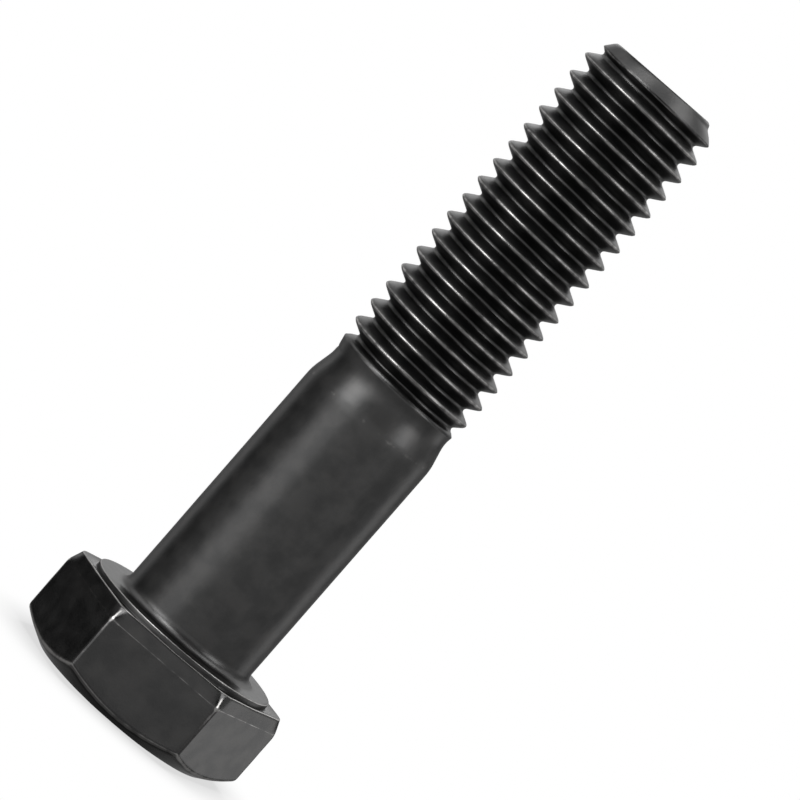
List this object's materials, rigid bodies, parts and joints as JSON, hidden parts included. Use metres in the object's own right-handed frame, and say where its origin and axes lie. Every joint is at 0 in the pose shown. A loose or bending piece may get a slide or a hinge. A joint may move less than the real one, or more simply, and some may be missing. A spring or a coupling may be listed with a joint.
{
  "type": "hex bolt",
  "caption": "Black hexagon head bolt with a washer face, a plain shank and a left-hand coarse thread, for clamping parts with a nut or into a tapped hole.",
  "frame": {"origin": "middle of the bearing face under the head, on the bolt's axis", "axes": "+Z along the shank towards the thread end; +Y and -Y square to two wrench flats; +X and -X through two corners of the head"},
  "size_m": [0.0206, 0.018, 0.0626],
  "materials": {
    "black_steel": "satin black oxide, worn to bare steel along the edges"
  },
  "bodies": {
    "root": {"hex_bolt": "black_steel"}
  },
  "joints": []
}
